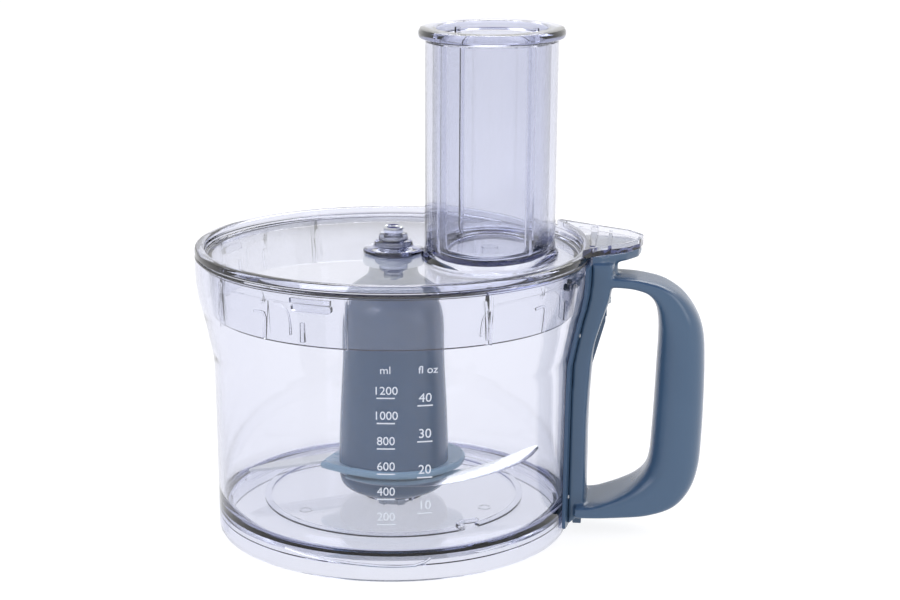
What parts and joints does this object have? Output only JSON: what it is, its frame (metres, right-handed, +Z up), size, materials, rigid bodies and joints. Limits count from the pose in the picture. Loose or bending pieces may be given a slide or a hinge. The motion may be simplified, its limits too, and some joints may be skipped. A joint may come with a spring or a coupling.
{
  "type": "food processor bowl",
  "caption": "Clear food processor bowl with a handle, driven knife, locking lid, oval feed tube and hollow pusher.",
  "frame": {"origin": "where the bowl's axis meets the plane it stands on", "axes": "+Z up along the bowl's axis, +X towards the handle"},
  "size_m": [0.2363, 0.1834, 0.235],
  "materials": {
    "clear_plastic": "clear moulded plastic with a faint violet tint at its edges",
    "blue_grey_plastic": "satin moulded plastic",
    "light_blue_plastic": "satin moulded plastic",
    "pale_nylon": "moulded nylon",
    "grey_nylon": "glass-filled nylon",
    "blade_steel": "ground and polished stainless steel",
    "turned_steel": "turned and polished steel",
    "spring_steel": "bright spring wire and strip",
    "bearing_bronze": "sintered bronze"
  },
  "bodies": {
    "bowl": {"bowl": "clear_plastic", "chimney_bush": "bearing_bronze", "handle": "blue_grey_plastic", "handle_back_plate": "blue_grey_plastic", "handle_screws": "turned_steel", "rod_guide": "pale_nylon", "interlock_spring": "spring_steel"},
    "interlock": {"interlock_rod": "blue_grey_plastic", "rod_foot": "blue_grey_plastic", "interlock_button": "pale_nylon"},
    "knife": {"drive_shaft": "turned_steel", "shaft_tip": "turned_steel", "drive_coupling": "grey_nylon", "retaining_clip": "spring_steel", "knife_hub": "blue_grey_plastic", "hub_collar": "pale_nylon", "hub_sleeve": "blue_grey_plastic", "blade_carrier": "light_blue_plastic", "blade_upper": "blade_steel", "blade_lower": "blade_steel", "hub_skirt": "blue_grey_plastic"},
    "lid_bearing": {"lid_bush": "turned_steel", "bush_ring": "bearing_bronze"},
    "lid": {"lid": "clear_plastic", "feed_tube": "clear_plastic"},
    "pusher": {"pusher": "clear_plastic"}
  },
  "joints": [
    {"name": "knife_spin", "type": "hinge", "parent": "bowl", "child": "knife", "pos_m": [0, 0, 0.02], "axis": [0, 0, 1], "continuous": true},
    {"name": "lid_lift", "type": "slide", "parent": "bowl", "child": "lid_bearing", "axis": [0, 0, 1], "range_m": [0, 0.08]},
    {"name": "lid_turn", "type": "hinge", "parent": "lid_bearing", "child": "lid", "pos_m": [0, 0, 0.131], "axis": [0, 0, 1], "range_deg": [0, 25]},
    {"name": "pusher_slide", "type": "slide", "parent": "lid", "child": "pusher", "axis": [0, 0, 1], "range_m": [0, 0.11]},
    {"name": "interlock_slide", "type": "slide", "parent": "bowl", "child": "interlock", "axis": [0, 0, 1], "range_m": [0, 0.005], "deforming": ["interlock_spring"]}
  ],
  "couplings": [
    {"joint": "interlock_slide", "follows": "lid_turn", "m_per_rad": 0.01145}
  ]
}
